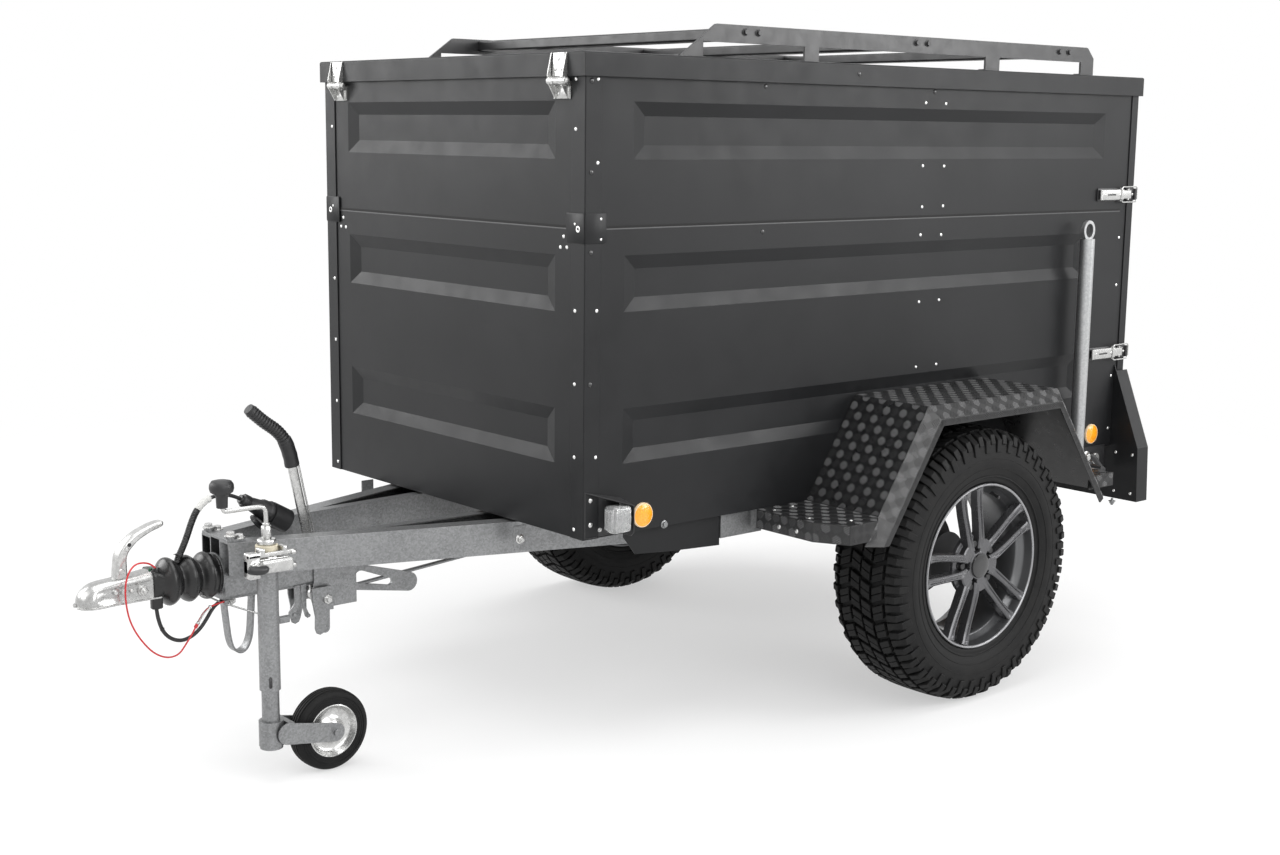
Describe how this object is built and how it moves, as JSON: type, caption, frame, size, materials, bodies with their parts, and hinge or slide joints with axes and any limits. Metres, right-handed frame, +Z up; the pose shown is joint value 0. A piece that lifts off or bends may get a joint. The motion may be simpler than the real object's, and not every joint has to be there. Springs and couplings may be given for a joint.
{
  "type": "off-road box trailer",
  "caption": "Single-axle black box trailer with lid, roof rack, tread-plate mudguards, off-road tyres, overrun-braked drawbar, jockey wheel and prop stands.",
  "frame": {"origin": "on the ground under the centre of the whole trailer's bounding box, parked on its wheels and jockey wheel", "axes": "+X towards the coupling, +Y to the trailer's left side, +Z up"},
  "size_m": [3.109, 1.676, 1.732],
  "materials": {
    "black_sheet": "fine textured black powder coat, satin",
    "galvanised": "hot-dip galvanised, satin",
    "zinc": "bright zinc plate",
    "cast": "zinc-plated casting, rough satin",
    "black_steel": "black paint, satin",
    "chequer": "black coated tread plate, glossy",
    "alloy": "anthracite lacquer, gloss",
    "tyre": "black rubber",
    "rubber": "black rubber, matt",
    "black_plastic": "moulded black plastic",
    "red_lens": "moulded red lens",
    "clear_lens": "clear lens on black bracket",
    "plate_white": "blank reflective plate",
    "floor_board": "phenolic-faced plywood",
    "steel_rim": "zinc-plated pressed rim",
    "red_cable": "red plastic-covered wire rope",
    "black_lead": "black sheathed cable"
  },
  "bodies": {
    "trailer": {"left_wall_lower": "black_sheet", "left_wall_upper": "black_sheet", "right_wall_lower": "black_sheet", "right_wall_upper": "black_sheet", "front_wall_lower": "black_sheet", "front_wall_upper": "black_sheet", "corner_posts": "black_sheet", "top_frame": "black_sheet", "floor_panel": "floor_board", "floor_frame": "galvanised", "chassis_rails": "galvanised", "drawbar_left": "galvanised", "drawbar_right": "galvanised", "drawbar_bridge": "galvanised", "hinge_mounts": "galvanised", "side_latches": "zinc", "axle_beam": "galvanised", "swing_arms": "black_steel", "mudguard_left": "chequer", "mudguard_right": "chequer", "light_carrier": "black_sheet", "tail_lamps": "red_lens", "number_plate": "plate_white", "position_lamps": "clear_lens", "stand_clamps": "black_steel", "overrun_housing": "galvanised", "gaiter": "rubber", "coupling_head": "cast", "coupling_handle": "zinc", "brake_linkage": "galvanised", "handbrake_lever": "zinc", "drawbar_strap": "galvanised", "jockey_tube": "galvanised", "jockey_clamp": "zinc", "jockey_crank": "zinc", "plug_holder": "black_plastic", "lead_plug": "black_plastic", "tow_lead": "black_lead", "cable_loop": "black_lead", "breakaway_cable": "red_cable"},
    "lid": {"lid": "black_sheet", "lid_hinge_straps": "galvanised", "roof_rails": "black_steel", "roof_bars": "black_steel"},
    "tailgate": {"tailgate": "black_sheet", "tailgate_fittings": "zinc"},
    "rear_flap": {"rear_flap": "black_sheet", "flap_fittings": "zinc"},
    "wheel_left": {"hub_drum_left": "cast", "rim_left": "alloy", "tyre_left": "tyre"},
    "wheel_right": {"hub_drum_right": "cast", "rim_right": "alloy", "tyre_right": "tyre"},
    "jockey_leg": {"jockey_leg": "galvanised"},
    "jockey_fork": {"jockey_fork": "galvanised"},
    "jockey_wheel": {"jockey_rim": "steel_rim", "jockey_tyre": "tyre"},
    "stand_left": {"stand_left": "zinc"},
    "stand_right": {"stand_right": "zinc"}
  },
  "joints": [
    {"name": "wheel_left_spin", "type": "hinge", "parent": "trailer", "child": "wheel_left", "pos_m": [-0.5585, 0.7215, 0.364], "axis": [0, 1, 0], "continuous": true},
    {"name": "wheel_right_spin", "type": "hinge", "parent": "trailer", "child": "wheel_right", "pos_m": [-0.5585, -0.7215, 0.364], "axis": [0, 1, 0], "continuous": true},
    {"name": "lid_hinge", "type": "hinge", "parent": "trailer", "child": "lid", "pos_m": [0.5905, 0, 1.59], "axis": [0, 1, 0], "range_deg": [0, 60]},
    {"name": "tailgate_hinge", "type": "hinge", "parent": "trailer", "child": "tailgate", "pos_m": [-1.5365, 0, 0.54], "axis": [0, -1, 0], "range_deg": [0, 90]},
    {"name": "rear_flap_hinge", "type": "hinge", "parent": "trailer", "child": "rear_flap", "pos_m": [-1.5365, 0, 1.564], "axis": [0, 1, 0], "range_deg": [0, 90]},
    {"name": "jockey_lift", "type": "slide", "parent": "trailer", "child": "jockey_leg", "axis": [0, 0, 1], "range_m": [0, 0.065]},
    {"name": "jockey_swivel", "type": "hinge", "parent": "jockey_leg", "child": "jockey_fork", "pos_m": [1.1855, 0.19, 0.12], "axis": [0, 0, 1], "continuous": true},
    {"name": "jockey_spin", "type": "hinge", "parent": "jockey_fork", "child": "jockey_wheel", "pos_m": [1.0375, 0.19, 0.096], "axis": [0, 1, 0], "continuous": true},
    {"name": "stand_left_slide", "type": "slide", "parent": "trailer", "child": "stand_left", "axis": [0, 0, -1], "range_m": [0, 0.465]},
    {"name": "stand_right_slide", "type": "slide", "parent": "trailer", "child": "stand_right", "axis": [0, 0, -1], "range_m": [0, 0.465]}
  ]
}
